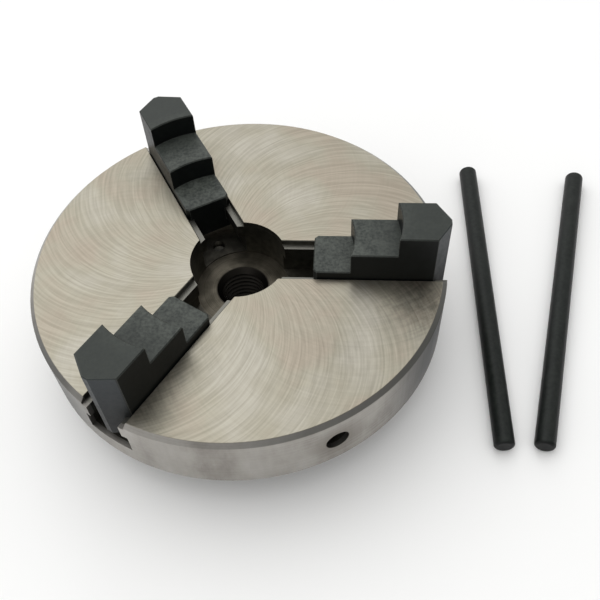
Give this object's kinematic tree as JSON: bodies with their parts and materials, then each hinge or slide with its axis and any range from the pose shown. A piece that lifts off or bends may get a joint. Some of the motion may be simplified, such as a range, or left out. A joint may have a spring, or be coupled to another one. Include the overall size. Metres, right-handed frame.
{
  "type": "lathe chuck",
  "caption": "Self-centring lathe chuck: round steel body with stepped jaws in radial slots, a lever-turned scroll behind, a threaded hub, and loose tommy bars.",
  "frame": {"origin": "on the spindle axis, in the plane of the chuck's rear face", "axes": "+Z along the spindle axis out of the jaw face, +X along jaw 1"},
  "size_m": [0.146, 0.1063, 0.041],
  "materials": {
    "chuck_body": "ground face and turned rim, satin",
    "hub": "turned, dull",
    "scroll_ring": "turned and hardened, satin",
    "thrust_washer": "plain bronze",
    "retaining_plate": "turned, satin",
    "screw": "black oxide",
    "dowel": "ground, bright",
    "jaw": "black oxide, oiled",
    "bar": "black oxide, oiled"
  },
  "bodies": {
    "chuck": {"chuck_body": "chuck_body", "hub": "hub", "thrust_washer": "thrust_washer", "retaining_plate": "retaining_plate", "plate_screw_1": "screw", "plate_screw_2": "screw", "plate_screw_3": "screw", "plate_screw_4": "screw", "plate_screw_5": "screw", "plate_screw_6": "screw", "hub_screw_1": "screw", "hub_screw_2": "screw", "hub_screw_3": "screw", "dowel_pin_1": "dowel", "dowel_pin_2": "dowel", "dowel_pin_3": "dowel"},
    "scroll": {"scroll_ring": "scroll_ring"},
    "jaw_1": {"jaw_1": "jaw"},
    "jaw_2": {"jaw_2": "jaw"},
    "jaw_3": {"jaw_3": "jaw"},
    "tommy_bar_1": {"tommy_bar_1": "bar"},
    "tommy_bar_2": {"tommy_bar_2": "bar"}
  },
  "joints": [
    {"name": "scroll_turn", "type": "hinge", "parent": "chuck", "child": "scroll", "pos_m": [0, 0, 0], "axis": [0, 0, 1], "range_deg": [-240, 840]},
    {"name": "jaw_1_slide", "type": "slide", "parent": "chuck", "child": "jaw_1", "axis": [1, 0, 0], "range_m": [-0.0141, 0.0041]},
    {"name": "jaw_2_slide", "type": "slide", "parent": "chuck", "child": "jaw_2", "axis": [-0.5, 0.866, 0], "range_m": [-0.0141, 0.0041]},
    {"name": "jaw_3_slide", "type": "slide", "parent": "chuck", "child": "jaw_3", "axis": [-0.5, -0.866, 0], "range_m": [-0.0141, 0.0041]},
    {"name": "tommy_bar_1_lift", "type": "slide", "parent": "chuck", "child": "tommy_bar_1", "axis": [0, 0, 1], "range_m": [0, 0.06]},
    {"name": "tommy_bar_2_lift", "type": "slide", "parent": "chuck", "child": "tommy_bar_2", "axis": [0, 0, 1], "range_m": [0, 0.06]}
  ],
  "couplings": [
    {"joint": "jaw_1_slide", "follows": "scroll_turn", "m_per_rad": -0.00095493},
    {"joint": "jaw_2_slide", "follows": "scroll_turn", "m_per_rad": -0.00095493},
    {"joint": "jaw_3_slide", "follows": "scroll_turn", "m_per_rad": -0.00095493}
  ]
}
